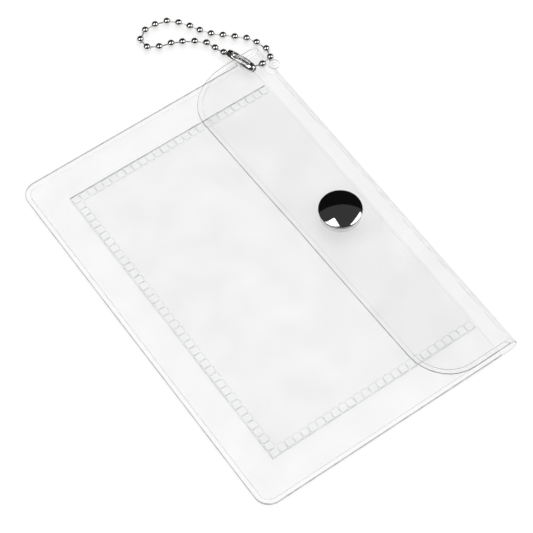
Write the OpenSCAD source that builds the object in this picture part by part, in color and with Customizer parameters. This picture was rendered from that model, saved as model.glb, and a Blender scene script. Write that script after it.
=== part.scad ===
// Clear vinyl snap pouch with an inner card pocket and a ball chain.
// Origin: middle of the pouch, on the surface it lies on. +X runs along the
// fold, +Y from the bottom edge to the fold, +Z up through the snap cap.

/* [Pouch] */
// Width of the pouch along the fold
pouch_w = 120; // [116:1:150]
// Height of the pouch from its bottom edge to the fold
pouch_h = 82; // [80:1:110]
// Thickness of the vinyl film
film_t = 0.3; // [0.25:0.01:0.3]
// Radius of the two bottom corners
corner_r = 4.5; // [3:0.5:8]
// Width of the welded border round the pouch and the flap
border_w = 1.5; // [1:0.1:2]
// Outer radius of the soft fold
fold_r = 2.2; // [2.2:0.05:2.3]
// Distance from the fold to the edge of the pouch mouth
mouth_inset = 4.8; // [4.5:0.1:8]

/* [Flap] */
// Depth of the flap, from the fold to its free edge
flap_d = 27; // [24:1:40]
// Radius of the two free corners of the flap
flap_corner_r = 13; // [5:1:18]

/* [Card pocket] */
// Outer width of the card pocket, over its welds
pocket_w = 98.8; // [90:0.1:99]
// Distance from the bottom edge of the pouch to the pocket's bottom weld
pocket_bottom = 10; // [10:0.5:15]
// Width of the pocket's ladder weld
ladder_w = 2.8; // [2:0.1:3]
// Thickness of the pocket film
pocket_t = 0.25; // [0.2:0.01:0.25]

/* [Snap] */
// Diameter of the snap cap
cap_d = 12.5; // [12:0.1:13]
// Distance from the fold to the centre of the snap
snap_inset = 14.2; // [14:0.1:16]
// Height of the straight side of the cap
cap_side = 1.0; // [0.8:0.1:1.4]
// Rise of the dome above the side of the cap
cap_rise = 1.3; // [1:0.1:1.6]

/* [Hang hole and chain] */
// Diameter of the hole punched through the fold
hole_d = 6.4; // [6.4:0.1:6.8]
// Distance from the far side of the pouch to the centre of the hole
hole_inset = 6.8; // [6.8:0.1:7]
// Diameter of one chain bead
bead_d = 2.4; // [2.3:0.05:2.4]
// Outer diameter of the chain coupling
coupling_d = 3; // [2.95:0.05:3]

/* [Hidden] */
$fn = 48;
eps = 0.01;
half_w = pouch_w / 2;
half_h = pouch_h / 2;

// Levels of the film layers, from the surface upwards
shelf_z = film_t;
pocket_top_z = 0.7;
front_z = 1.4;
flap_top_z = 2 * fold_r;
flap_z = flap_top_z - film_t;

// The fold's axis, where the flat film ends and the fold begins
fold_y = half_h - fold_r;
mouth_y = half_h - mouth_inset;
flap_edge_y = half_h - flap_d;

// The front panel lies flat beside its welds, then ramps up to front_z
shelf_w = 5.5;
ramp_w = 7;

// Card pocket: its outer corner, and where its side welds end below the mouth
pocket_y = -half_h + pocket_bottom;
pocket_half = pocket_w / 2;
ladder_end_inset = 0.4;
ladder_end_y = mouth_y - ladder_end_inset;

// The flap's hem stands this far below the film
hem_drop = 0.05;

// Snap
snap_y = half_h - snap_inset;
cap_r = cap_d / 2;
cap_wall = 0.35;
socket_r = 5.9;
socket_bore_r = 2.5;
socket_z = 2.4;
socket_lip = 0.4;
post_r = 1.6;
post_plate_t = 0.4;
post_rivet_r = 2.1;
post_rivet_t = 0.3;
post_wall = 0.4;
post_bore_l = 1;
stud_base_r = 4.9;
stud_base_t = 0.5;
stud_neck_r = 1.75;
stud_head_r = 2.0;
stud_top_z = 3.25;
stud_head_h = 0.5;
stud_bevel = 0.2;
eyelet_wall = 0.35;
barrel_inset = 0.1;
eyelet_flange_r = 4.3;
eyelet_t = 0.5;
eyelet_r = 1.2;
film_hole_clearance = 0.15;
spring_wire_r = 0.2;
spring_ring_r = 2.45;
spring_z = 3.0;
groove_h = 0.5;
groove_depth = 0.45;
post_clearance = 0.05;

// Hang hole and tab
hole_x = -half_w + hole_inset;
hole_y = half_h + 1.4;
tab_r = 1.65;
tab_x = hole_x + 0.2;
tab_y = half_h + 0.8;
tab_t = 0.3;
tab_rib_r = 0.8;
tab_rib_w = 0.25;
tab_neck_w = 1;
tab_neck_turn = -22;

// Ball chain: hollow beads joined by small dumbbell pins
bead_r = bead_d / 2;
bead_wall = 0.25;
bead_hole_r = 0.25;
pin_r = 0.19;
pin_head_r = 0.3;
pin_len = 2.4;
coupling_r = coupling_d / 2;
coupling_wall = 0.25;
coupling_slot_w = 1.6;
coupling_slot_l = 3.6;
coupling_end_hole_r = 0.45;

// Bead centres from the far corner of the fold: out of the hang hole, round
// the free loop, and back to the coupling under the flap.
CHAIN = [
    [5, -2, 2.2], [4, 1.5, 1.7], [0.5, 2.5, 1.2], [-3, 1.5, 1.2], [-6, 0, 1.2],
    [-8.5, -2.5, 1.2], [-11, -5, 1.2], [-13.5, -7.5, 1.2], [-16.5, -9.5, 1.2],
    [-19.5, -11, 1.2], [-22.5, -13, 1.2], [-25, -15.5, 1.2], [-26, -19, 1.2],
    [-26, -22.5, 1.2], [-24, -25.5, 1.2], [-20.5, -25.5, 1.2], [-18.5, -22.5, 1.2],
    [-17.5, -19, 1.2], [-16, -16, 1.2], [-14, -13, 1.2], [-11.5, -10.5, 1.2],
    [-8.5, -9.5, 1.2], [-5.5, -8.5, 1.4], [-2.5, -7.5, 2.3], [4, -5.5, 2.3]
];
CHAIN_N = len(CHAIN);
FREE_BEADS = CHAIN_N - 2;

function chain_at(i) =
    CHAIN[(i + CHAIN_N) % CHAIN_N] + [-half_w, half_h, 0];

// ---- helpers -------------------------------------------------------------

// Rectangle from p to q
module rect(p, q) {
    translate(p)
        square(q - p);
}

// Rectangle from p to q whose two lower corners are rounded
module lower_rounded(p, q, r) {
    intersection() {
        rect(p, q);
        union() {
            rect([p.x, p.y + r], q);
            rect([p.x + r, p.y], [q.x - r, p.y + r + eps]);
            for (x = [p.x + r, q.x - r])
                translate([x, p.y + r])
                    circle(r);
        }
    }
}

// Outline of the pouch, moved in by d on its three welded sides
module pouch_outline(d) {
    lower_rounded([-half_w + d, -half_h + d], [half_w - d, mouth_y], corner_r - d);
}

// Outline of the flap, moved in by d on its three free sides
module flap_outline(d) {
    lower_rounded([-half_w + d, flap_edge_y + d], [half_w - d, fold_y], flap_corner_r - d);
}

// A Y-Z profile run along the whole width of the pouch
module along_x(w) {
    translate([-w / 2, 0, 0])
        rotate([90, 0, 90])
            linear_extrude(w)
                children();
}

module slab(z, t) {
    translate([0, 0, z])
        linear_extrude(t)
            children();
}

// Places a child that is drawn along +Z so that it runs from a to b
module aim(a, b) {
    v = b - a;
    translate(a)
        rotate([0, acos(v.z / norm(v)), atan2(v.y, v.x)])
            children();
}

module at_snap() {
    translate([0, snap_y, 0])
        children();
}

module hang_hole() {
    translate([hole_x, hole_y, -1])
        cylinder(r = hole_d / 2, h = flap_top_z + 2);
}

// ---- vinyl ---------------------------------------------------------------

module back_panel() {
    color("whitesmoke")
        slab(0, film_t) {
            pouch_outline(border_w);
            rect([-half_w, mouth_y], [half_w, fold_y]);
        }
}

// One quarter of the curled film: side -1 is the lower one, 1 the upper
module fold_quarter(side) {
    difference() {
        along_x(pouch_w)
            translate([fold_y, fold_r])
                intersection() {
                    difference() {
                        circle(fold_r);
                        circle(fold_r - film_t);
                    }
                    translate([0, side < 0 ? -fold_r : 0])
                        square(fold_r);
                }
        hang_hole();
    }
}

module fold_lower() {
    color("whitesmoke")
        fold_quarter(-1);
}

module fold_upper() {
    color("whitesmoke")
        fold_quarter(1);
}

// Cross profile of the front panel: side shelves, ramps and the raised middle
module tent_across(t) {
    polygon([
        [-half_w, 0], [-half_w, shelf_z + t],
        [-half_w + border_w + shelf_w, shelf_z + t],
        [-half_w + border_w + shelf_w + ramp_w, front_z + t],
        [half_w - border_w - shelf_w - ramp_w, front_z + t],
        [half_w - border_w - shelf_w, shelf_z + t],
        [half_w, shelf_z + t], [half_w, 0]
    ]);
}

// Long profile of the front panel: one shelf and ramp, open at the mouth
module tent_along(t) {
    polygon([
        [-half_h, 0], [-half_h, shelf_z + t],
        [-half_h + border_w + shelf_w, shelf_z + t],
        [-half_h + border_w + shelf_w + ramp_w, front_z + t],
        [half_h, front_z + t], [half_h, 0]
    ]);
}

// Solid space under a surface t above the front panel's lower face
module tent(t) {
    intersection() {
        along_x(pouch_w)
            tent_along(t);
        translate([0, half_h, 0])
            rotate([90, 0, 0])
                linear_extrude(pouch_h)
                    tent_across(t);
    }
}

module front_panel() {
    color("whitesmoke")
        difference() {
            intersection() {
                tent(film_t);
                slab(shelf_z, flap_top_z)
                    pouch_outline(border_w);
            }
            tent(0);
            at_snap()
                cylinder(r = eyelet_r + film_hole_clearance, h = flap_top_z);
        }
}

// The fused border, cut to the part of it inside the rectangle p to q
module border_weld(p, q) {
    color("gainsboro")
        slab(0, 2 * film_t)
            intersection() {
                difference() {
                    pouch_outline(0);
                    pouch_outline(border_w);
                }
                rect(p, q);
            }
}

module weld_far() {
    border_weld([-half_w, -half_h + corner_r], [-half_w + border_w, mouth_y]);
}

module weld_near() {
    border_weld([half_w - border_w, -half_h + corner_r], [half_w, mouth_y]);
}

module weld_bottom() {
    border_weld([-half_w, -half_h], [half_w, -half_h + corner_r]);
}

// ---- card pocket ---------------------------------------------------------

module card_pocket() {
    color("whitesmoke")
        slab(pocket_top_z - pocket_t, pocket_t)
            rect([-pocket_half + ladder_w, pocket_y + ladder_w],
                 [pocket_half - ladder_w, mouth_y]);
}

// One side weld, with a round end at the mouth
module ladder_side(x) {
    color("gainsboro")
        slab(film_t, pocket_top_z - film_t) {
            rect([x, pocket_y + ladder_w], [x + ladder_w, ladder_end_y - ladder_w / 2]);
            translate([x + ladder_w / 2, ladder_end_y - ladder_w / 2])
                intersection() {
                    circle(ladder_w / 2);
                    translate([-ladder_w / 2, 0])
                        square(ladder_w);
                }
        }
}

module pocket_weld_far() {
    ladder_side(-pocket_half);
}

module pocket_weld_near() {
    ladder_side(pocket_half - ladder_w);
}

module pocket_weld_bottom() {
    color("gainsboro")
        slab(film_t, pocket_top_z - film_t)
            rect([-pocket_half, pocket_y], [pocket_half, pocket_y + ladder_w]);
}

// ---- hang tab ------------------------------------------------------------

// Round tab that stands past the fold, with a raised ring and a short neck
module hang_tab() {
    color("whitesmoke")
        translate([tab_x, tab_y, fold_r - tab_t]) {
            cylinder(r = tab_r, h = tab_t);
            difference() {
                cylinder(r = tab_rib_r, h = 1.5 * tab_t);
                translate([0, 0, tab_t])
                    cylinder(r = tab_rib_r - tab_rib_w, h = tab_t);
            }
            intersection() {
                rotate(tab_neck_turn)
                    translate([0, -tab_neck_w / 2, 0])
                        cube([hole_d, tab_neck_w, tab_t]);
                translate([hole_x - tab_x, hole_y - tab_y, 0])
                    cylinder(r = hole_d / 2, h = tab_t);
            }
        }
}

// ---- flap ----------------------------------------------------------------

module flap_panel() {
    color("whitesmoke")
        difference() {
            slab(flap_z, film_t)
                flap_outline(border_w);
            at_snap()
                cylinder(r = post_r + film_hole_clearance, h = flap_top_z + 1);
        }
}

// Welded hem round the three free sides, a little thicker than the film
module flap_border() {
    color("gainsboro")
        slab(flap_z - hem_drop, film_t + hem_drop)
            difference() {
                flap_outline(0);
                flap_outline(border_w);
            }
}

// ---- snap ----------------------------------------------------------------

// Lens-shaped space under a dome whose edge has radius r at height z
module dome(r, z) {
    ball_r = (r * r + cap_rise * cap_rise) / (2 * cap_rise);
    intersection() {
        translate([0, 0, z + cap_rise - ball_r])
            sphere(ball_r, $fn = 128);
        translate([0, 0, z - eps])
            cylinder(r = r, h = cap_rise + 1);
    }
}

module snap_cap() {
    color("dimgray")
        at_snap()
            difference() {
                union() {
                    translate([0, 0, flap_top_z])
                        cylinder(r = cap_r, h = cap_side);
                    dome(cap_r, flap_top_z + cap_side);
                }
                translate([0, 0, flap_top_z - eps])
                    cylinder(r = cap_r - cap_wall, h = cap_side - cap_wall / 2);
                dome(cap_r - cap_wall, flap_top_z + cap_side - cap_wall);
            }
}

// Plate closed inside the cap, with the post that holds the socket
module cap_post() {
    post_z = flap_z - socket_lip - post_rivet_t;
    color("silver")
        at_snap()
            difference() {
                union() {
                    translate([0, 0, flap_top_z])
                        cylinder(r = cap_r - cap_wall, h = post_plate_t);
                    translate([0, 0, post_z])
                        cylinder(r = post_r, h = flap_top_z - post_z + eps);
                    translate([0, 0, post_z])
                        cylinder(r = post_rivet_r, h = post_rivet_t);
                }
                translate([0, 0, post_z - eps])
                    cylinder(r = post_r - post_wall, h = post_bore_l);
            }
}

module snap_socket() {
    color("silver")
        at_snap()
            difference() {
                translate([0, 0, socket_z])
                    cylinder(r = socket_r, h = flap_z - socket_z);
                translate([0, 0, socket_z - eps])
                    cylinder(r = socket_bore_r, h = flap_z - socket_lip - socket_z + eps);
                cylinder(r = post_r + post_clearance, h = flap_z + 1);
                translate([0, 0, spring_z - groove_h / 2])
                    cylinder(r = socket_bore_r + groove_depth, h = groove_h);
            }
}

// Ring spring seated in the socket's groove
module socket_spring() {
    color("silver")
        at_snap()
            translate([0, 0, spring_z])
                rotate_extrude()
                    translate([spring_ring_r, 0])
                        circle(spring_wire_r, $fn = 24);
}

module snap_stud() {
    base_z = front_z + film_t;
    neck_top = stud_top_z - stud_head_h;
    bore_r = eyelet_r + post_clearance;
    color("silver")
        at_snap()
            rotate_extrude()
                polygon([
                    [bore_r, base_z], [stud_base_r, base_z],
                    [stud_base_r, base_z + stud_base_t - stud_bevel],
                    [stud_base_r - stud_bevel, base_z + stud_base_t],
                    [stud_neck_r, base_z + stud_base_t], [stud_neck_r, neck_top],
                    [stud_head_r, neck_top + stud_bevel], [stud_head_r, stud_top_z - stud_bevel],
                    [stud_head_r - stud_bevel, stud_top_z], [bore_r, stud_top_z]
                ]);
}

// Flanged eyelet under the front panel; its barrel holds the stud
module stud_eyelet() {
    bore_r = eyelet_r - eyelet_wall;
    barrel_top = stud_top_z - barrel_inset;
    color("silver")
        at_snap()
            rotate_extrude()
                polygon([
                    [bore_r, front_z - eyelet_t], [eyelet_flange_r, front_z - eyelet_t],
                    [eyelet_flange_r, front_z], [eyelet_r, front_z],
                    [eyelet_r, barrel_top], [bore_r, barrel_top]
                ]);
}

// ---- ball chain ----------------------------------------------------------

// Hollow bead with a hole towards each of its two neighbours
module bead(i) {
    difference() {
        translate(chain_at(i))
            sphere(bead_r, $fn = 32);
        translate(chain_at(i))
            sphere(bead_r - bead_wall, $fn = 32);
        for (j = i < FREE_BEADS ? [i - 1, i + 1] : [i == FREE_BEADS ? i - 1 : 0])
            aim(chain_at(i), chain_at(j))
                cylinder(r = bead_hole_r, h = bead_d, $fn = 24);
    }
}

// Dumbbell pin between bead i and bead j, with a head inside each
module pin(i, j) {
    inset = (norm(chain_at(j) - chain_at(i)) - pin_len) / 2;
    aim(chain_at(i), chain_at(j))
        translate([0, 0, inset]) {
            cylinder(r = pin_r, h = pin_len, $fn = 24);
            for (z = [0, pin_len])
                translate([0, 0, z])
                    sphere(pin_head_r, $fn = 24);
        }
}

module chain_beads() {
    color("silver")
        for (i = [0:FREE_BEADS - 1])
            bead(i);
}

module chain_pins() {
    color("silver") {
        for (i = [0:FREE_BEADS - 1])
            pin(i, i + 1);
        pin(CHAIN_N - 1, 0);
    }
}

module coupling_beads() {
    color("silver")
        for (i = [FREE_BEADS, FREE_BEADS + 1])
            bead(i);
}

// Half of a round-ended outline, r wide, from the origin to a point l up the axis
module half_capsule(r, l) {
    intersection() {
        union() {
            circle(r);
            translate([0, l])
                circle(r);
            rect([0, 0], [r, l]);
        }
        rect([0, -r], [r, l + r]);
    }
}

// Tubular coupling that closes the loop, slotted through its middle
module coupling() {
    a = chain_at(FREE_BEADS);
    b = chain_at(FREE_BEADS + 1);
    span = norm(b - a);
    color("silver")
        difference() {
            aim(a, b)
                rotate_extrude()
                    difference() {
                        half_capsule(coupling_r, span);
                        half_capsule(coupling_r - coupling_wall, span);
                    }
            translate((a + b) / 2)
                rotate(atan2(b.y - a.y, b.x - a.x)) {
                    cube([coupling_slot_l, coupling_slot_w, coupling_d + 1], center = true);
                    for (side = [-1, 1])
                        translate([side * coupling_slot_l / 2, 0, 0])
                            cylinder(d = coupling_slot_w, h = coupling_d + 1, center = true);
                }
            aim(a, chain_at(FREE_BEADS - 1))
                cylinder(r = coupling_end_hole_r, h = coupling_d);
            aim(b, chain_at(0))
                cylinder(r = coupling_end_hole_r, h = coupling_d);
        }
}

back_panel();
fold_lower();
fold_upper();
front_panel();
weld_far();
weld_near();
weld_bottom();
card_pocket();
pocket_weld_far();
pocket_weld_near();
pocket_weld_bottom();
hang_tab();
flap_panel();
flap_border();
snap_cap();
cap_post();
snap_socket();
socket_spring();
snap_stud();
stud_eyelet();
chain_beads();
chain_pins();
coupling();
coupling_beads();
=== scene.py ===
"""Looks of a clear vinyl snap pouch with a welded card pocket and a ball chain."""
import math

import bmesh
import bpy
from mathutils import Matrix, Vector


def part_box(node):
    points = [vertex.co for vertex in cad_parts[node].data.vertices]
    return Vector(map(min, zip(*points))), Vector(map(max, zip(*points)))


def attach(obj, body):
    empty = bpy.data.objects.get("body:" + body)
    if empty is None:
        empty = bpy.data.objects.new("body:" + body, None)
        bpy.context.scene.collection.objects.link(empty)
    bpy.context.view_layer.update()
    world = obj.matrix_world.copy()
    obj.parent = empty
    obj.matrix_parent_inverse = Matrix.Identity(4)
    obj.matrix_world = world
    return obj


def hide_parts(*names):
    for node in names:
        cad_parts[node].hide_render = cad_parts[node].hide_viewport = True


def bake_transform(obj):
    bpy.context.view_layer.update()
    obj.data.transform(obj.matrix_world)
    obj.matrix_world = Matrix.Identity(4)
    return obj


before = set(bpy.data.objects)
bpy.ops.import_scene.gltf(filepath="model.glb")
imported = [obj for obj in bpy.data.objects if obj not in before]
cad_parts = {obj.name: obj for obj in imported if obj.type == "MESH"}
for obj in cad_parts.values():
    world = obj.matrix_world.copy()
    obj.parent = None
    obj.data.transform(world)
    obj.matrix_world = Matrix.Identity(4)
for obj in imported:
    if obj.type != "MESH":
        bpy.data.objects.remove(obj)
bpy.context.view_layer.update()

MM = 0.001

# ---- sizes, read from the frame --------------------------------------------

HALF_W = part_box("weld_bottom")[1].x
BOTTOM_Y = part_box("weld_bottom")[0].y
MOUTH_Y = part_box("front_panel")[1].y
FOLD_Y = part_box("back_panel")[1].y
FOLD_EDGE_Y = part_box("fold_upper")[1].y
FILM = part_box("back_panel")[1].z
FLAP_TOP_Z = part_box("fold_upper")[1].z
FOLD_R = FLAP_TOP_Z / 2
FRONT_TOP_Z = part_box("front_panel")[1].z
FLAP_EDGE_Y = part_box("flap_border")[0].y
BORDER = HALF_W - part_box("flap_panel")[1].x
POCKET_LOW, POCKET_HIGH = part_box("pocket_weld_bottom")
LADDER_END_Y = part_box("pocket_weld_far")[1].y
LADDER_W = POCKET_HIGH.y - POCKET_LOW.y
CARD_LOW, CARD_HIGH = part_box("card_pocket")
CAP_LOW, CAP_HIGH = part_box("snap_cap")
CAP_R = (CAP_HIGH.x - CAP_LOW.x) / 2
SNAP_Y = (CAP_LOW.y + CAP_HIGH.y) / 2
TAB_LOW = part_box("hang_tab")[0]

# Shapes that the boxes can't tell, as in the CAD source
CORNER_R = 4.5 * MM
FLAP_CORNER_R = 13 * MM
HOLE_R = 3.2 * MM
HOLE = Vector((-HALF_W + 6.8 * MM, FOLD_EDGE_Y + 1.4 * MM, 0))
TAB_R = 1.65 * MM
TAB = Vector((HOLE.x + 0.2 * MM, FOLD_EDGE_Y + 0.8 * MM, 0))
NECK_SAG = 1.1 * MM
BEAD_R = 1.2 * MM
COUPLING_R = 1.5 * MM

# ---- node helpers ------------------------------------------------------------


class Nodes:
    """A material's node tree, with short calls to add and link its nodes."""

    def __init__(self, name):
        self.material = bpy.data.materials.new(name)
        self.material.use_nodes = True
        self.tree = self.material.node_tree
        self.tree.nodes.clear()
        self.output = self.add("ShaderNodeOutputMaterial")

    def add(self, kind, inputs=None, **settings):
        node = self.tree.nodes.new(kind)
        for key, value in settings.items():
            setattr(node, key, value)
        for key, value in (inputs or {}).items():
            if isinstance(value, bpy.types.NodeSocket):
                self.tree.links.new(value, node.inputs[key])
            else:
                node.inputs[key].default_value = value
        return node

    def math(self, operation, a, b):
        return self.add("ShaderNodeMath", {0: a, 1: b}, operation=operation).outputs[0]

    def mix(self, factor, first, second):
        return self.add("ShaderNodeMixShader", {0: factor, 1: first, 2: second}).outputs[0]

    def noise(self, scale, detail=3.0):
        where = self.add("ShaderNodeTexCoord").outputs["Object"]
        made = self.add("ShaderNodeTexNoise", {"Vector": where, "Scale": scale, "Detail": detail})
        return made.outputs["Fac"]

    def between(self, value, low, high, contrast=1.0):
        spread = 0.5 / contrast
        made = self.add(
            "ShaderNodeMapRange",
            {"Value": value, 1: 0.5 - spread, 2: 0.5 + spread, 3: low, 4: high},
        )
        return made.outputs["Result"]

    def bump(self, height, distance, strength=1.0):
        made = self.add(
            "ShaderNodeBump", {"Height": height, "Distance": distance, "Strength": strength}
        )
        return made.outputs["Normal"]

    def finish(self, shader):
        self.tree.links.new(shader, self.output.inputs["Surface"])
        return self.material


def clear_film(name, clearness, haze, mirror):
    """Clear vinyl: light passes, a little is scattered, and more is mirrored at a grazing angle. Its
    tint also darkens towards a grazing angle, a painted shade on curled and edge-on film.
    """
    n = Nodes(name)
    facing = n.add("ShaderNodeLayerWeight", {"Blend": 0.5}).outputs["Facing"]
    # painted shade: the film's tint darkens as it turns edge-on, so curls and folds look darker
    painted_grazing_shade = n.math("MULTIPLY", n.math("POWER", facing, 6.0), 0.45)
    cloud = n.between(n.noise(90.0, 4.0), -0.01, 0.01)
    passed = n.math("SUBTRACT", n.math("ADD", cloud, clearness), painted_grazing_shade)
    tint = n.add("ShaderNodeCombineColor", {0: passed, 1: passed, 2: passed}).outputs[0]
    through = n.add("ShaderNodeBsdfTransparent", {"Color": tint}).outputs[0]
    milk = n.add("ShaderNodeBsdfDiffuse", {"Color": (0.8, 0.81, 0.82, 1)}).outputs[0]
    ripple = n.bump(n.noise(160.0), 0.1 * MM, 0.25)
    shine = n.add(
        "ShaderNodeBsdfGlossy",
        {"Color": (0.95, 0.96, 0.97, 1), "Roughness": 0.09, "Normal": ripple},
    ).outputs[0]
    grazing = n.math("POWER", facing, 4.0)
    share = n.math("ADD", n.math("MULTIPLY", grazing, 0.15), mirror)
    body = n.mix(haze, through, milk)
    return n.finish(n.mix(share, body, shine))


def film_shade_line(name, opacity, grey, patchy=0.2):
    """A cut edge or a pressed step of the film, drawn as a thin grey line of painted shade, and
    stronger in places.
    """
    n = Nodes(name)
    low, high = opacity * (1 - patchy), opacity * (1 + patchy)
    streak = n.between(n.noise(400.0), low, high, contrast=4.0)
    through = n.add("ShaderNodeBsdfTransparent", {"Color": (0.9, 0.91, 0.92, 1)}).outputs[0]
    edge = n.add(
        # painted shade: the grey that the edge and step lines are drawn in
        "ShaderNodeBsdfPrincipled",
        {"Base Color": (grey, grey, grey, 1), "Roughness": 0.25},
    ).outputs[0]
    return n.finish(n.mix(streak, through, edge))


def metal(name, colour, roughness, scratch):
    """Plated metal with a slightly uneven polish and hairline marks."""
    n = Nodes(name)
    uneven = n.between(n.noise(700.0, 4.0), roughness * 0.7, roughness * 1.5)
    marks = n.bump(n.noise(3500.0, 2.0), scratch, 0.3)
    made = n.add(
        "ShaderNodeBsdfPrincipled",
        {"Base Color": (*colour, 1), "Metallic": 1.0, "Roughness": uneven, "Normal": marks},
    )
    return n.finish(made.outputs[0])


VINYL = clear_film("clear_vinyl", 0.988, 0.002, 0.004)
WELD = clear_film("welded_vinyl", 0.99, 0.001, 0.003)
# A darker copy of the vinyl, painted shade for the band that runs from the mouth round the fold
FOLD_SHADE_VINYL = clear_film("fold_shade_vinyl", 0.983, 0.003, 0.006)
# Lines of painted shade for the film's cut edges, the flap's free edge, pressed steps and faint ridges
EDGE = film_shade_line("film_edge", 0.55, 0.2)
DARK_EDGE = film_shade_line("flap_edge", 0.8, 0.1)
PRESSED = film_shade_line("pressed_line", 0.15, 0.28, 1.0)
FAINT = film_shade_line("faint_line", 0.06, 0.35, 1.0)
CHROME = metal("cap_chrome", (0.62, 0.62, 0.63), 0.035, 0.002 * MM)
NICKEL = metal("chain_nickel", (0.78, 0.78, 0.77), 0.07, 0.004 * MM)
STEEL = metal("snap_steel", (0.72, 0.72, 0.71), 0.22, 0.01 * MM)

# ---- mesh helpers -------------------------------------------------------------


def piece(name, points, faces, materials, kinds=None, sharp=35):
    """A mesh object of those points and faces; kinds gives each face's material."""
    mesh = bpy.data.meshes.new(name)
    mesh.from_pydata([tuple(p) for p in points], [], faces)
    for material in materials:
        mesh.materials.append(material)
    if kinds:
        mesh.polygons.foreach_set("material_index", kinds)
    work = bmesh.new()
    work.from_mesh(mesh)
    bmesh.ops.remove_doubles(work, verts=work.verts, dist=0.001 * MM)
    bmesh.ops.recalc_face_normals(work, faces=work.faces)
    work.to_mesh(mesh)
    work.free()
    mesh.polygons.foreach_set("use_smooth", [True] * len(mesh.polygons))
    mesh.set_sharp_from_angle(angle=math.radians(sharp))
    made = bpy.data.objects.new(name, mesh)
    bpy.context.scene.collection.objects.link(made)
    return made


def apply_modifiers(obj):
    """Bakes the object's modifiers into its mesh."""
    bpy.context.view_layer.update()
    shaped = obj.evaluated_get(bpy.context.evaluated_depsgraph_get())
    mesh = bpy.data.meshes.new_from_object(shaped)
    obj.modifiers.clear()
    obj.data = mesh


def cut_hole(obj, centre, radius, material):
    """Punches a round hole down through the object."""
    bpy.ops.mesh.primitive_cylinder_add(
        vertices=64, radius=radius, depth=20 * MM, location=(centre[0], centre[1], 3 * MM)
    )
    punch = bpy.context.object
    punch.data.materials.append(material)
    cut = obj.modifiers.new("hole", "BOOLEAN")
    cut.operation = "DIFFERENCE"
    cut.solver = "EXACT"
    cut.material_mode = "TRANSFER"
    cut.object = punch
    apply_modifiers(obj)
    bpy.data.objects.remove(punch)
    obj.data.polygons.foreach_set("use_smooth", [True] * len(obj.data.polygons))
    obj.data.set_sharp_from_angle(angle=math.radians(35))


def smooth_step(value, low, high):
    t = min(1.0, max(0.0, (value - low) / (high - low)))
    return t * t * (3 - 2 * t)


def corner_rows(start, end, half, radius, step, corner_steps=10):
    """Rows (place along, half width) of a plate whose corners at its start are round."""
    rows = []
    for i in range(corner_steps):
        turn = math.pi / 2 * i / corner_steps
        rows.append((start + radius * (1 - math.cos(turn)), half - radius + radius * math.sin(turn)))
    count = max(1, round((end - start - radius) / step))
    for i in range(count + 1):
        rows.append((start + radius + (end - start - radius) * i / count, half))
    return rows


def film(name, rows, columns, place, thickness, materials, edge_kinds, row_kinds=None):
    """A closed thin sheet. place(x, along) gives a point on its face and the way its thickness runs."""
    start_kind, far_kind, near_kind, end_kind = edge_kinds
    points = []
    for along, half in rows:
        for j in range(columns + 1):
            at, way = place(half * (2 * j / columns - 1), along)
            points += [at, at + way * thickness]
    wide = 2 * (columns + 1)
    faces, kinds = [], []
    for i in range(len(rows) - 1):
        for j in range(columns):
            a = i * wide + 2 * j
            b = a + wide
            faces += [(a, a + 2, b + 2, b), (a + 1, b + 1, b + 3, a + 3)]
            kinds += [row_kinds.get(i, PLAIN) if row_kinds else PLAIN] * 2
        for a, kind in ((i * wide, far_kind), (i * wide + 2 * columns, near_kind)):
            faces.append((a, a + 1, a + wide + 1, a + wide))
            kinds.append(kind)
    for row, kind in ((0, start_kind), (len(rows) - 1, end_kind)):
        for j in range(columns):
            a = row * wide + 2 * j
            faces.append((a, a + 2, a + 3, a + 1))
            kinds.append(kind)
    return piece(name, points, faces, materials, kinds)


def u_path(half, top, bottom, radius, step):
    """Points down the far side, round the bottom and up the near side, with the way inwards."""
    path = []

    def straight(a, b, inward):
        count = max(1, round((b - a).length / step))
        for i in range(count + 1):
            path.append((a.lerp(b, i / count), inward))

    def turn(centre, first):
        for i in range(1, 10):
            angle = math.radians(first + 10 * i)
            out = Vector((math.cos(angle), math.sin(angle)))
            path.append((centre + out * radius, -out))

    straight(Vector((-half, top)), Vector((-half, bottom + radius)), Vector((1, 0)))
    turn(Vector((-half + radius, bottom + radius)), 180)
    straight(Vector((-half + radius, bottom)), Vector((half - radius, bottom)), Vector((0, 1)))
    turn(Vector((half - radius, bottom + radius)), 270)
    straight(Vector((half, bottom + radius)), Vector((half, top)), Vector((-1, 0)))
    return path


def band(name, path, profile, profile_kinds, height, materials, skew=None):
    """A closed strip that runs a cross profile of (inset, z) points along a path."""
    count = len(profile)
    points, faces, kinds = [], [], []
    for at, inward in path:
        for inset, z in profile:
            spot = at + inward * inset
            aside = skew(spot.x, spot.y) if skew else 0
            points.append(Vector((spot.x, spot.y + aside, z + height(spot.x, spot.y))))
    for i in range(len(path) - 1):
        for j in range(count):
            k = (j + 1) % count
            faces.append((i * count + j, i * count + k, (i + 1) * count + k, (i + 1) * count + j))
            kinds.append(profile_kinds[j])
    for i in (0, len(path) - 1):
        faces.append(tuple(i * count + j for j in range(count)))
        kinds.append(FUSED)
    return piece(name, points, faces, materials, kinds)


def lathe(name, profile, where, materials, kinds=None, segments=64, aim=None):
    """Turns (radius, height) points about an axis through where; aim is the axis' way."""
    turn = Matrix.Identity(3)
    if aim is not None:
        turn = aim.to_track_quat("Z", "Y").to_matrix()
    points, faces, face_kinds = [], [], []
    for radius, height in profile:
        for i in range(segments):
            angle = 2 * math.pi * i / segments
            local = Vector((radius * math.cos(angle), radius * math.sin(angle), height))
            points.append(Vector(where) + turn @ local)
    for j in range(len(profile) - 1):
        for i in range(segments):
            k = (i + 1) % segments
            low, high = j * segments, (j + 1) * segments
            faces.append((low + i, low + k, high + k, high + i))
            face_kinds.append(kinds[j] if kinds else 0)
    return piece(name, points, faces, materials, face_kinds)


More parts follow.
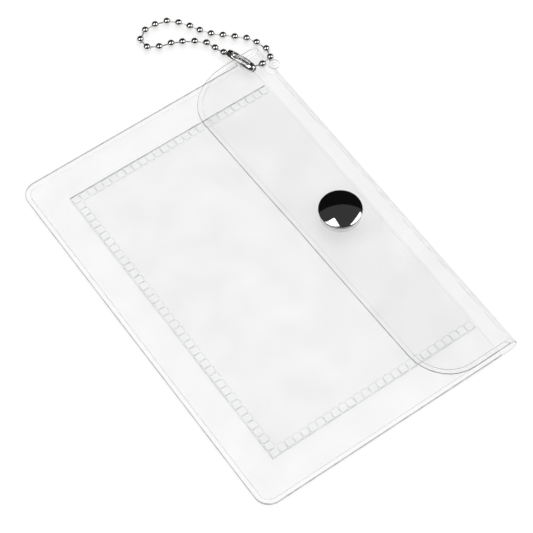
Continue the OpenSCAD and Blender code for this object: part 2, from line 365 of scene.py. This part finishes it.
def join(name, parts):
    """Joins mesh objects into one piece."""
    work = bmesh.new()
    for part in parts:
        work.from_mesh(part.data)
    mesh = bpy.data.meshes.new(name)
    work.to_mesh(mesh)
    work.free()
    for material in parts[0].data.materials:
        mesh.materials.append(material)
    for part in parts:
        bpy.data.objects.remove(part)
    made = bpy.data.objects.new(name, mesh)
    bpy.context.scene.collection.objects.link(made)
    return made


# ---- camera and stage ------------------------------------------------------------


def add_camera():
    """A 135 mm lens looks down at the pouch from beyond its near lower corner."""
    elevation, azimuth, roll = (math.radians(a) for a in (59.18, 56.76, -2.17))
    target = Vector((0.63, 1.30, 0)) * MM
    distance = 548.3 * MM
    back = Vector(
        (
            math.sin(azimuth) * math.cos(elevation),
            -math.cos(azimuth) * math.cos(elevation),
            math.sin(elevation),
        )
    )
    right = Vector((math.cos(azimuth), math.sin(azimuth), 0))
    up = back.cross(right)
    rolled = right * math.cos(roll) + up * math.sin(roll)
    camera = bpy.data.objects.new("camera", bpy.data.cameras.new("camera"))
    bpy.context.scene.collection.objects.link(camera)
    camera.data.lens = 135
    camera.data.clip_start = 0.01
    axes = Matrix((rolled, back.cross(rolled), back)).transposed()
    camera.matrix_world = Matrix.Translation(target + back * distance) @ axes.to_4x4()
    bpy.context.scene.camera = camera
    return right, Vector((back.x, back.y, 0)).normalized()


def light_kinds(n):
    """1 on the rays that see a white background: camera, mirror and glass rays."""
    path = n.add("ShaderNodeLightPath")
    seen = n.math("MAXIMUM", path.outputs["Is Camera Ray"], path.outputs["Is Glossy Ray"])
    return n.math("MAXIMUM", seen, path.outputs["Is Transmission Ray"])


def add_floor():
    """A white floor: part matt, so that it keeps shadows, and part its own light."""
    grey, glow_share = 0.42, 0.62
    n = Nodes("white_floor")
    matt = n.add("ShaderNodeBsdfDiffuse", {"Color": (grey, grey, grey, 1)}).outputs[0]
    seen = n.math("MULTIPLY", light_kinds(n), glow_share)
    glow = n.add("ShaderNodeEmission", {"Strength": seen}).outputs[0]
    made = n.add("ShaderNodeAddShader", {0: matt, 1: glow}).outputs[0]
    side, z = 4.0, -0.15 * MM
    corners = [(-side, -side, z), (side, -side, z), (side, side, z), (-side, side, z)]
    floor = piece("floor", corners, [(0, 1, 2, 3)], [n.finish(made)])


def add_card(name, right, toward, aside, ahead, distance, size, twist, strength, level=False):
    """A lit card that only mirrors see: aside and ahead are its angles off straight overhead."""
    n = Nodes(name)
    glow = n.add("ShaderNodeEmission", {"Strength": strength}).outputs[0]
    half_l, half_w = size[0] / 2, size[1] / 2
    corners = [(-half_l, -half_w, 0), (half_l, -half_w, 0), (half_l, half_w, 0), (-half_l, half_w, 0)]
    card = piece(name, corners, [(0, 1, 2, 3)], [n.finish(glow)])
    a, b = math.radians(aside), math.radians(ahead)
    way = (right * math.tan(a) + toward * math.tan(b) + Vector((0, 0, 1))).normalized()
    across = right if level else -right.cross(way).cross(way).normalized()
    facing = Vector((0, 0, 1)) if level else way
    turn = Matrix((across, facing.cross(across), facing)).transposed()
    turn = turn @ Matrix.Rotation(math.radians(twist), 3, "Z")
    card.matrix_world = Matrix.Translation(way * distance) @ turn.to_4x4()
    card.visible_camera = False
    card.visible_diffuse = False
    card.visible_shadow = False
    card.visible_transmission = False


def add_sun(name, way, strength, spread):
    lamp = bpy.data.lights.new(name, "SUN")
    lamp.energy = strength
    lamp.angle = math.radians(spread)
    sun = bpy.data.objects.new(name, lamp)
    sun.rotation_mode = "QUATERNION"
    sun.rotation_quaternion = Vector(way).to_track_quat("Z", "Y")
    sun.visible_glossy = False
    bpy.context.scene.collection.objects.link(sun)


def add_world():
    """Plain grey light for matt surfaces, white behind the object, a dark studio in mirrors."""
    world = bpy.data.worlds.new("studio")
    bpy.context.scene.world = world
    world.use_nodes = True
    tree = world.node_tree
    tree.nodes.clear()
    path = tree.nodes.new("ShaderNodeLightPath")
    way = tree.nodes.new("ShaderNodeTexCoord")
    parts = tree.nodes.new("ShaderNodeSeparateXYZ")
    tree.links.new(way.outputs["Generated"], parts.inputs[0])
    ramp = tree.nodes.new("ShaderNodeValToRGB")
    tree.links.new(parts.outputs["Z"], ramp.inputs[0])
    stops = ((0.0, 0.4), (0.03, 0.1), (0.08, 0.006), (1.0, 0.006))
    elements = ramp.color_ramp.elements
    while len(elements) < len(stops):
        elements.new(0.5)
    for element, (place, grey) in zip(elements, stops):
        element.position = place
        element.color = (grey, grey, grey, 1)
    mirror = tree.nodes.new("ShaderNodeBackground")
    tree.links.new(ramp.outputs[0], mirror.inputs[0])
    plain = tree.nodes.new("ShaderNodeBackground")
    plain.inputs[1].default_value = 0.6
    white = tree.nodes.new("ShaderNodeBackground")
    white.inputs[0].default_value = (1, 1, 1, 1)
    shade = tree.nodes.new("ShaderNodeMixShader")
    tree.links.new(path.outputs["Is Glossy Ray"], shade.inputs[0])
    tree.links.new(plain.outputs[0], shade.inputs[1])
    tree.links.new(mirror.outputs[0], shade.inputs[2])
    plain.inputs[0].default_value = (1, 1, 1, 1)
    seen = tree.nodes.new("ShaderNodeMixShader")
    tree.links.new(path.outputs["Is Camera Ray"], seen.inputs[0])
    tree.links.new(shade.outputs[0], seen.inputs[1])
    tree.links.new(white.outputs[0], seen.inputs[2])
    output = tree.nodes.new("ShaderNodeOutputWorld")
    tree.links.new(seen.outputs[0], output.inputs[0])


right_way, toward_way = add_camera()

# ---- ball chain -------------------------------------------------------------------

# Bead centres from the far corner of the fold, in millimetres: out of the hang
# hole, round the free loop, and back to the coupling under the flap.
CHAIN = [
    (5, -2, 2.2), (4, 1.5, 1.7), (0.5, 2.5, 1.2), (-3, 1.5, 1.2), (-6, 0, 1.2),
    (-8.5, -2.5, 1.2), (-11, -5, 1.2), (-13.5, -7.5, 1.2), (-16.5, -9.5, 1.2),
    (-19.5, -11, 1.2), (-22.5, -13, 1.2), (-25, -15.5, 1.2), (-26, -19, 1.2),
    (-26, -22.5, 1.2), (-24, -25.5, 1.2), (-20.5, -25.5, 1.2), (-18.5, -22.5, 1.2),
    (-17.5, -19, 1.2), (-16, -16, 1.2), (-14, -13, 1.2), (-11.5, -10.5, 1.2),
    (-8.5, -9.5, 1.2), (-5.5, -8.5, 1.4), (-2.5, -7.5, 2.3), (4, -5.5, 2.3),
]
FREE_BEADS = len(CHAIN) - 2
CHAIN_CORNER = Vector((-HALF_W, FOLD_EDGE_Y, 0))
CHAIN_AT = [CHAIN_CORNER + Vector(p) * MM for p in CHAIN]


def bead(i, ways):
    """A hollow bead with a rolled lip at the holes that its two pins come out of."""
    lip = 13
    profile = []
    for k in range(15):
        angle = math.radians(lip + (180 - 2 * lip) * k / 14)
        profile.append((BEAD_R * math.sin(angle), BEAD_R * math.cos(angle)))
    inner = BEAD_R - 0.25 * MM
    edge = profile[0][0] * 0.92
    deep = math.sqrt(inner * inner - edge * edge)
    profile += [(edge, -deep), (inner, 0), (edge, deep), profile[0]]
    return lathe(f"bead_{i}", profile, CHAIN_AT[i], [NICKEL], segments=28, aim=ways)


def bead_way(i):
    """The way a bead's holes point: along the chain at that bead."""
    if i == FREE_BEADS:
        return (CHAIN_AT[i] - CHAIN_AT[i - 1]).normalized()
    if i == FREE_BEADS + 1:
        return (CHAIN_AT[0] - CHAIN_AT[i]).normalized()
    way_in = (CHAIN_AT[i] - CHAIN_AT[i - 1]).normalized()
    way_out = (CHAIN_AT[i + 1] - CHAIN_AT[i]).normalized()
    return (way_in + way_out).normalized()


def pin(i, j):
    """A dumbbell pin between two beads, with a round head inside each."""
    a, b = CHAIN_AT[i], CHAIN_AT[j]
    shaft, head = 0.21 * MM, 0.3 * MM
    reach = (b - a).length / 2 - BEAD_R * 0.55
    profile = [(0.001 * MM, -reach - head)]
    profile += [(head * math.sin(t), -reach - head * math.cos(t)) for t in (0.6, 1.2, 1.8, 2.3)]
    profile += [(shaft, -reach + head), (shaft, reach - head)]
    profile += [(head * math.sin(t), reach + head * math.cos(t)) for t in (2.3, 1.8, 1.2, 0.6)]
    profile += [(0.001 * MM, reach + head)]
    return lathe(f"pin_{i}", profile, (a + b) / 2, [NICKEL], segments=16, aim=b - a)


def coupling():
    """A boat-shaped tube, open along its top and bottom, knurled at its outer end."""
    a, b = CHAIN_AT[FREE_BEADS], CHAIN_AT[FREE_BEADS + 1]
    middle, along = (a + b) / 2, (b - a).normalized()
    across = Vector((0, 0, 1)).cross(along)
    reach = (b - a).length / 2 + COUPLING_R
    steps, turns = 64, 14
    slot_share = 0.66
    points, faces = [], []
    for side in (-1, 1):
        first = len(points)
        for i in range(steps + 1):
            t = 2 * i / steps - 1
            radius = COUPLING_R * 1.08 * (1 - (0.15 if t < 0 else 0.4) * abs(t) ** 6)
            gap = math.sqrt(max(0.0, 1 - (t / slot_share) ** 2))
            low, high = math.radians(50) * gap, math.pi - math.radians(38) * gap
            for k in range(turns + 1):
                angle = low + (high - low) * k / turns
                rib = 0.0
                if t < -slot_share + 0.1:
                    rib = 0.03 * math.cos(9 * angle + 30 * t) * smooth_step(-t, 0.5, 0.7)
                out = across * (side * math.sin(angle)) + Vector((0, 0, math.cos(angle)))
                points.append(middle + along * (t * reach) + out * radius * (1 + rib))
        for i in range(steps):
            for k in range(turns):
                p = first + i * (turns + 1) + k
                faces.append((p, p + 1, p + turns + 2, p + turns + 1))
    tube = piece("coupling_tube", points, faces, [NICKEL], sharp=50)
    wall = tube.modifiers.new("wall", "SOLIDIFY")
    wall.thickness = 0.28 * MM
    wall.offset = -1
    apply_modifiers(tube)
    return tube


def add_chain():
    free = join("chain_bead_string", [bead(i, bead_way(i)) for i in range(FREE_BEADS)])
    pins = [pin(i, i + 1) for i in range(FREE_BEADS)] + [pin(len(CHAIN) - 1, 0)]
    pins = join("chain_pin_set", pins)
    ends = [bead(i, bead_way(i)) for i in (FREE_BEADS, FREE_BEADS + 1)]
    ends = join("coupling_end_beads", ends)
    tube = coupling()
    for made, node in (
        (free, "chain_beads"), (pins, "chain_pins"), (ends, "coupling_beads"), (tube, "coupling"),
    ):
        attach(made, "chain")
        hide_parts(node)


add_chain()

# ---- vinyl ------------------------------------------------------------------------

SKIN_GAP = 0.06 * MM
SOFT = [VINYL, EDGE, PRESSED, FAINT, DARK_EDGE, WELD, FOLD_SHADE_VINYL]
PLAIN, CUT, STEP, HINT, DARK, FUSED, SHADED_BAND = range(7)


def wave(x, y, height):
    """The slight waviness of soft film."""
    a = math.sin(x / (17 * MM) + 0.8) * math.cos(y / (13 * MM) - 0.4)
    b = math.sin((x + 1.7 * y) / (29 * MM) + 2.1)
    return height * (0.6 * a + 0.4 * b)


def add_back_sheet():
    """The back panel, from its bottom edge to the pouch mouth; the fold sheet carries on."""
    inset = BORDER - 0.1 * MM
    rows = corner_rows(BOTTOM_Y + inset, MOUTH_Y, HALF_W - inset, CORNER_R - inset, 3 * MM)
    sheet = film(
        "back_sheet", rows, 40, lambda x, y: (Vector((x, y, 0)), Vector((0, 0, 1))),
        FILM, SOFT, (PLAIN, PLAIN, PLAIN, PLAIN),
    )
    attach(sheet, "root")
    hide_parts("back_panel")


def front_height(x, y):
    """Lower face of the front panel: flat by its welds, then raised over the pocket."""
    inset = min(HALF_W - abs(x), y - BOTTOM_Y)
    low = FILM + SKIN_GAP
    high = FRONT_TOP_Z - FILM
    rise = smooth_step(inset, BORDER + 5 * MM, BORDER + 14 * MM)
    clear_of_snap = smooth_step(math.hypot(x, y - SNAP_Y), 6 * MM, 14 * MM)
    return low + (high - low) * rise + wave(x, y, 0.12 * MM) * rise * clear_of_snap


def add_front_sheet():
    inset = BORDER - 0.1 * MM
    rows = corner_rows(BOTTOM_Y + inset, MOUTH_Y, HALF_W - inset, CORNER_R - inset, 1.5 * MM)
    sheet = film(
        "front_sheet", rows, 90, lambda x, y: (Vector((x, y, front_height(x, y))), Vector((0, 0, 1))),
        FILM, SOFT, (PLAIN, PLAIN, PLAIN, HINT),
    )
    cut_hole(sheet, (0, SNAP_Y), 1.35 * MM, EDGE)
    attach(sheet, "root")
    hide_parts("front_panel")


def add_border_weld():
    """The fused border round the three closed sides, with a pressed line along its inside."""
    path = u_path(HALF_W, MOUTH_Y, BOTTOM_Y, CORNER_R, 6 * MM)
    top = 2 * FILM + SKIN_GAP + 0.04 * MM
    low = -0.02 * MM
    profile = [
        (0, low), (0, top - 0.1 * MM), (0.12 * MM, top), (BORDER - 0.15 * MM, top),
        (BORDER, top - 0.12 * MM), (BORDER, low + 0.12 * MM), (BORDER - 0.1 * MM, low),
    ]
    kinds = [CUT, CUT, FUSED, FUSED, FUSED, HINT, FUSED]
    weld = band("border_weld", path, profile, kinds, lambda x, y: 0, SOFT)
    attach(weld, "root")
    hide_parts("weld_far", "weld_near", "weld_bottom")


CURL = math.pi * FOLD_R
LEAD = FOLD_Y - MOUTH_Y
FLAP_L = FOLD_Y - FLAP_EDGE_Y


def flap_sag(x, y):
    """How far the flap hangs below the top of the fold: more at its far end, less near the snap."""
    down = smooth_step(FOLD_Y - 2 * MM - y, 0, FLAP_L)
    held = math.exp(-(((x) ** 2 + (y - SNAP_Y) ** 2) / (11 * MM) ** 2))
    hang = 1.3 * MM * (1 - 0.85 * x / HALF_W)
    return (hang + wave(x, y, 0.1 * MM)) * down * (1 - held)


def flap_skew(x, y):
    """The soft flap sits a little askew: its free edge is further from the fold at the far end."""
    return 0.9 * MM * x / HALF_W * smooth_step(SNAP_Y - 2 * MM - y, 0, SNAP_Y - FLAP_EDGE_Y)


def fold_place(x, along):
    """Outer face of the film from the mouth line round the fold to the flap's free edge."""
    if along < LEAD:
        return Vector((x, MOUTH_Y + along, 0)), Vector((0, 0, 1))
    if along < LEAD + CURL:
        angle = (along - LEAD) / FOLD_R
        out = Vector((0, math.sin(angle), -math.cos(angle)))
        return Vector((x, FOLD_Y, FOLD_R)) + out * FOLD_R, -out
    y = FOLD_Y - (along - LEAD - CURL)
    return Vector((x, y + flap_skew(x, y), FLAP_TOP_Z - flap_sag(x, y))), Vector((0, 0, -1))


def add_fold_and_flap():
    """One sheet from the pouch mouth round the fold to the flap, and the flap's hem."""
    end = LEAD + CURL + FLAP_L
    rows = [(LEAD * i / 2, HALF_W) for i in range(2)]
    curl_steps, line_w, line_steps = 28, 0.12 * MM, (8, 14, 19, 24)
    # The band from the mouth round the fold takes the darker vinyl, painted shade; the thin steps
    # across the curl are painted shade lines
    row_kinds = {0: SHADED_BAND, 1: SHADED_BAND}
    for i in range(curl_steps + 1):
        place = LEAD + CURL * i / curl_steps
        if i in line_steps:
            row_kinds[len(rows)] = STEP
            rows.append((place, HALF_W))
            place += line_w
        row_kinds[len(rows)] = SHADED_BAND
        rows.append((place, HALF_W))
    inset = BORDER - 0.1 * MM
    flap_rows = corner_rows(inset, FLAP_L, HALF_W - inset, FLAP_CORNER_R - inset, 1 * MM, 20)
    rows += [(end - place, half) for place, half in reversed(flap_rows[:-1])]
    edge_kinds = (PLAIN, HINT, CUT, PLAIN)
    sheet = film("fold_and_flap", rows, 100, fold_place, FILM, SOFT, edge_kinds, row_kinds)
    cut_hole(sheet, HOLE, HOLE_R, FAINT)
    cut_hole(sheet, (0, SNAP_Y), 1.75 * MM, EDGE)
    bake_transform(sheet)
    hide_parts("fold_lower", "fold_upper", "flap_panel")

    path = u_path(HALF_W, FOLD_Y, FLAP_EDGE_Y, FLAP_CORNER_R, 2 * MM)
    low, high = -FILM - 0.04 * MM, 0.03 * MM
    profile = [
        (0, low), (0, high - 0.06 * MM), (0.08 * MM, high), (BORDER - 0.1 * MM, high),
        (BORDER, high - 0.08 * MM), (BORDER, low + 0.08 * MM), (BORDER - 0.1 * MM, low),
    ]
    kinds = [DARK, DARK, FUSED, HINT, FUSED, FUSED, FUSED]
    hem = band(
        "flap_hem", path, profile, kinds, lambda x, y: FLAP_TOP_Z - flap_sag(x, y), SOFT, flap_skew
    )
    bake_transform(hem)
    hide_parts("flap_border")


# ---- card pocket ---------------------------------------------------------------------

CELL_PITCH = 2.5 * MM
CELL_GAP = 0.08 * MM
CELL_POINTS = 24
# Powers of a rounded rectangle: 0 is square, 1 is round
CELL_SIDE_ROUND, CELL_INNER_ROUND, CELL_OUTER_ROUND = 0.35, 0.6, 0.2
# Places in each half of a cell's outline where its wall gets a stronger line of painted shade
CELL_BOLD = (0, 1, 2, 10, 11)


def add_card_pocket():
    half = CARD_HIGH.x + 0.1 * MM
    end = MOUTH_Y - 0.3 * MM
    rows = [(CARD_LOW.y + (end - CARD_LOW.y) * i / 8, half) for i in range(9)]
    sheet = film(
        "card_pocket_sheet", rows, 12,
        lambda x, y: (Vector((x, y, CARD_LOW.z)), Vector((0, 0, 1))),
        CARD_HIGH.z - CARD_LOW.z, SOFT, (PLAIN, PLAIN, PLAIN, HINT),
    )
    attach(sheet, "root")
    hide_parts("card_pocket")


def weld_cell(name, centre, along, across, length, width):
    """One pressed cell: a low pillow, straight outside and rounded inside."""
    outline = []
    for k in range(CELL_POINTS):
        angle = 2 * math.pi * k / CELL_POINTS
        c, s = math.cos(angle), math.sin(angle)
        power = CELL_INNER_ROUND if s > 0 else CELL_OUTER_ROUND
        u = math.copysign(abs(c) ** CELL_SIDE_ROUND, c) * length / 2
        v = math.copysign(abs(s) ** power, s) * width / 2
        outline.append((u, v))
    base, top = FILM + 0.02 * MM, CARD_HIGH.z + 0.02 * MM
    points, faces, kinds = [], [], []
    for scale, z in ((1.0, base), (1.0, top - 0.1 * MM), (0.86, top)):
        for u, v in outline:
            spot = centre + along * (u * scale) + across * (v * scale)
            points.append(Vector((spot.x, spot.y, z)))
    for ring in (0, 1):
        for k in range(CELL_POINTS):
            m = (k + 1) % CELL_POINTS
            a, b = ring * CELL_POINTS, (ring + 1) * CELL_POINTS
            faces.append((a + k, a + m, b + m, b + k))
            # the bold wall faces get the stronger painted shade line
            bold = ring == 0 and k % (CELL_POINTS // 2) in CELL_BOLD
            kinds.append(STEP if bold else HINT)
    top_ring = range(2 * CELL_POINTS, 3 * CELL_POINTS)
    faces += [tuple(range(CELL_POINTS)), tuple(top_ring)]
    kinds += [FUSED, FUSED]
    return piece(name, points, faces, SOFT, kinds)


def cell_row(name, start, end, inward):
    """A row of cells from start to end along the weld, the rounded ends inwards."""
    count = round((end - start).length / CELL_PITCH)
    along = (end - start).normalized()
    pitch = (end - start).length / count
    width = LADDER_W - 0.3 * MM
    return [
        weld_cell(
            f"{name}_{i}", start + along * (pitch * (i + 0.5)) + inward * (LADDER_W / 2 + 0.1 * MM),
            along, inward, pitch - CELL_GAP, width,
        )
        for i in range(count)
    ]


def add_pocket_welds():
    half, low, high = POCKET_HIGH.x, POCKET_LOW.y, LADDER_END_Y
    up, x_in = Vector((0, 1)), Vector((1, 0))
    rail = [(0, FILM), (0, CARD_HIGH.z), (0.12 * MM, CARD_HIGH.z), (0.12 * MM, FILM)]
    far_path = [(Vector((-half, y)), x_in) for y in (high, low)]
    near_path = [(Vector((half, y)), -x_in) for y in (low, high)]
    low_path = [(Vector((x, low)), up) for x in (-half, half)]
    side_low = low + LADDER_W
    rows = (
        ("far", Vector((-half, side_low)), Vector((-half, high)), x_in, far_path, CUT),
        ("near", Vector((half, side_low)), Vector((half, high)), -x_in, near_path, HINT),
        ("bottom", Vector((-half, low)), Vector((half, low)), up, low_path, STEP),
    )
    for side, start, end, inward, path, kind in rows:
        kinds = [kind, HINT, HINT, HINT]
        rail_piece = band(f"{side}_rail", path, rail, kinds, lambda x, y: 0, SOFT)
        weld = join(f"{side}_ladder_weld", [rail_piece, *cell_row(side, start, end, inward)])
        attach(weld, "root")
        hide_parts(f"pocket_weld_{side}")


# ---- hang tab --------------------------------------------------------------------------


def add_hang_tab():
    """The small round tab by the hang hole, with its raised inner and outer rings."""
    low, high = TAB_LOW.z, TAB_LOW.z + FILM
    ridge = 0.12 * MM
    profile = [
        (0.001 * MM, low), (TAB_R - 0.08 * MM, low), (TAB_R, low + 0.08 * MM),
        (TAB_R, high), (TAB_R - 0.06 * MM, high + ridge), (TAB_R - 0.26 * MM, high + ridge),
        (TAB_R - 0.36 * MM, high), (0.85 * MM, high), (0.78 * MM, high + ridge),
        (0.62 * MM, high + ridge), (0.55 * MM, high), (0.001 * MM, high),
    ]
    kinds = [PLAIN, STEP, CUT, HINT, FUSED, HINT, PLAIN, STEP, FUSED, STEP, PLAIN]
    disc = lathe("tab_disc", profile, (TAB.x, TAB.y, 0), SOFT, kinds, segments=48)
    neck_turn = math.radians(-22)
    neck_way = Vector((math.cos(neck_turn), math.sin(neck_turn)))
    start = TAB.xy + neck_way * (TAB_R - 0.1 * MM)
    neck_l = math.sqrt(HOLE_R ** 2 - NECK_SAG ** 2) - (start - HOLE.xy).length
    half = 0.4 * MM
    side = Vector((-neck_way.y, neck_way.x)) * half
    stop = start + neck_way * neck_l
    ends = [start + side, start - side, stop - side, stop + side]
    points = [Vector((p.x, p.y, z)) for z in (low, high) for p in ends]
    faces = [(0, 1, 2, 3), (4, 5, 6, 7), (0, 1, 5, 4), (1, 2, 6, 5), (2, 3, 7, 6), (3, 0, 4, 7)]
    neck = piece("tab_neck", points, faces, SOFT, [PLAIN, PLAIN, HINT, STEP, HINT, STEP])
    tab = join("hang_tab_disc", [disc, neck])
    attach(tab, "root")
    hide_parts("hang_tab")


# ---- snap -------------------------------------------------------------------------------


def add_snap_cap():
    """The domed cap, with its rolled rim and the groove round its side."""
    top, low = CAP_HIGH.z, CAP_LOW.z
    shoulder_r = CAP_R - 0.22 * MM
    shoulder_z = top - 1.3 * MM
    rise = top - shoulder_z
    ball = (shoulder_r ** 2 + rise ** 2) / (2 * rise)
    reach = math.asin(shoulder_r / ball)
    profile = [(0.001 * MM, top)]
    for k in range(1, 25):
        angle = reach * k / 24
        profile.append((ball * math.sin(angle), top - ball + ball * math.cos(angle)))
    roll = 0.36 * MM
    for k in range(1, 9):
        angle = reach + (math.radians(200) - reach) * k / 8
        out = roll * (math.sin(angle) - math.sin(reach))
        up = roll * (math.cos(angle) - math.cos(reach))
        profile.append((shoulder_r + out, shoulder_z + up))
    side_top = profile[-1][1]
    profile += [
        (CAP_R - 0.5 * MM, side_top - 0.12 * MM), (CAP_R - 0.28 * MM, low + 0.35 * MM),
        (CAP_R - 0.25 * MM, low + 0.12 * MM), (CAP_R - 0.4 * MM, low), (0.001 * MM, low),
    ]
    cap = lathe("snap_cap_shell", profile, (0, SNAP_Y, 0), [CHROME], segments=128)
    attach(cap, "flap")
    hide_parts("snap_cap")


def finish_cad_nodes():
    for name in ("cap_post", "snap_socket", "socket_spring", "snap_stud", "stud_eyelet"):
        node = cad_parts[name]
        node.data.materials.clear()
        node.data.materials.append(STEEL)


add_back_sheet()
add_front_sheet()
add_border_weld()
add_fold_and_flap()
add_card_pocket()
add_pocket_welds()
add_hang_tab()
add_snap_cap()
finish_cad_nodes()

add_floor()
add_world()
add_card("left_card", right_way, toward_way, -27, 16, 1.0, (0.85, 0.44), 30, 3.0)
add_card("right_card", right_way, toward_way, 45, 3, 1.0, (0.75, 0.48), 55, 3.0)
add_card("ceiling_card", right_way, toward_way, 0, 21, 1.5, (6.0, 3.1), 5, 0.055, level=True)
add_sun("key_sun", (-0.5, 0.5, 1.2), 0.8, 50)
add_sun("fill_sun", (0.7, 0.2, 1.0), 0.45, 70)
add_sun("front_sun", (0.3, -0.9, 1.0), 0.3, 70)
bpy.context.scene.view_settings.view_transform = "Standard"
bpy.context.scene.cycles.transparent_max_bounces = 96
